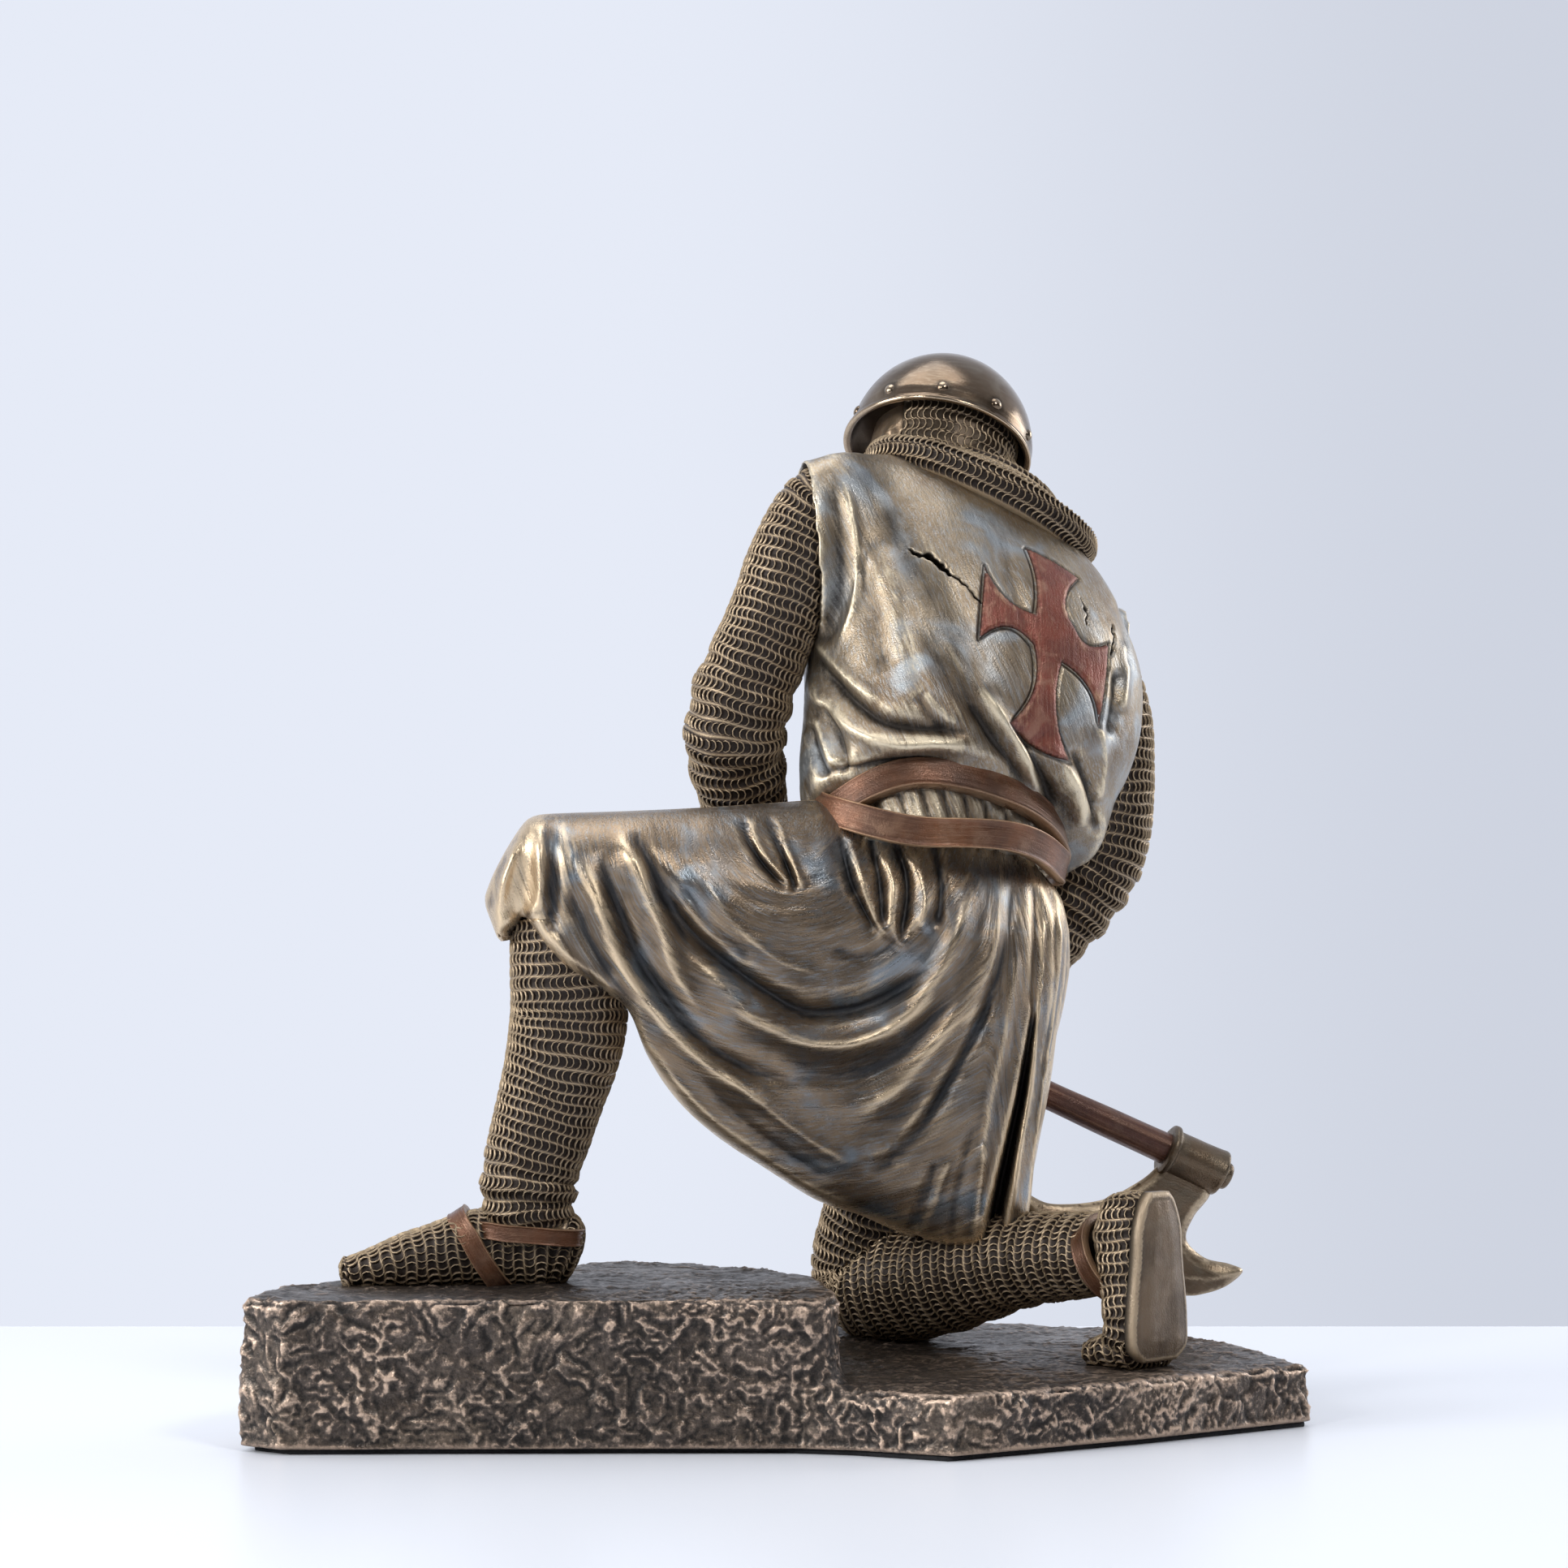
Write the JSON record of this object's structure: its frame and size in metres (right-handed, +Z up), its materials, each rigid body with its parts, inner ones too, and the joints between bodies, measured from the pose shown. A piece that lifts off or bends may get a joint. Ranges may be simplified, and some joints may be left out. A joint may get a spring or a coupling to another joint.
{
  "type": "medieval knight statue",
  "caption": "Kneeling knight statue in surcoat, mail and round helmet, head bowed, holding a low axe on a stepped rock plinth.",
  "frame": {"origin": "middle of the plinth's outline, on the surface that the statue stands on", "axes": "+Z up, +X along the plinth's long side from the front foot to the kneeling foot, -Y towards the knight's back"},
  "size_m": [0.213, 0.126, 0.226],
  "materials": {
    "surcoat_bronze": "cold-cast bronze resin, brushed silvery olive with pale bronze edges and blue-grey patina in the folds",
    "mail_bronze": "cold-cast bronze resin, near-black brown with tan bronze ring edges",
    "helmet_bronze": "cold-cast bronze resin, polished brown bronze",
    "face_bronze": "cold-cast bronze resin, warm brown bronze",
    "belt_brown": "resin painted reddish brown like leather, worn to tan on its edges",
    "cross_red": "resin painted dull brick red, worn",
    "rock_bronze": "resin, dark grey brown with pinkish tan dry-brushed ridges",
    "sole_bronze": "cold-cast bronze resin, dull tan bronze",
    "axe_bronze": "cold-cast bronze resin, brown bronze head on a dark red-brown haft",
    "haft_brown": "resin painted dark red-brown like wood",
    "black_felt": "black felt"
  },
  "bodies": {
    "root": {"knight_on_rock": "surcoat_bronze", "axe": "axe_bronze", "felt_pad": "black_felt"}
  },
  "joints": []
}
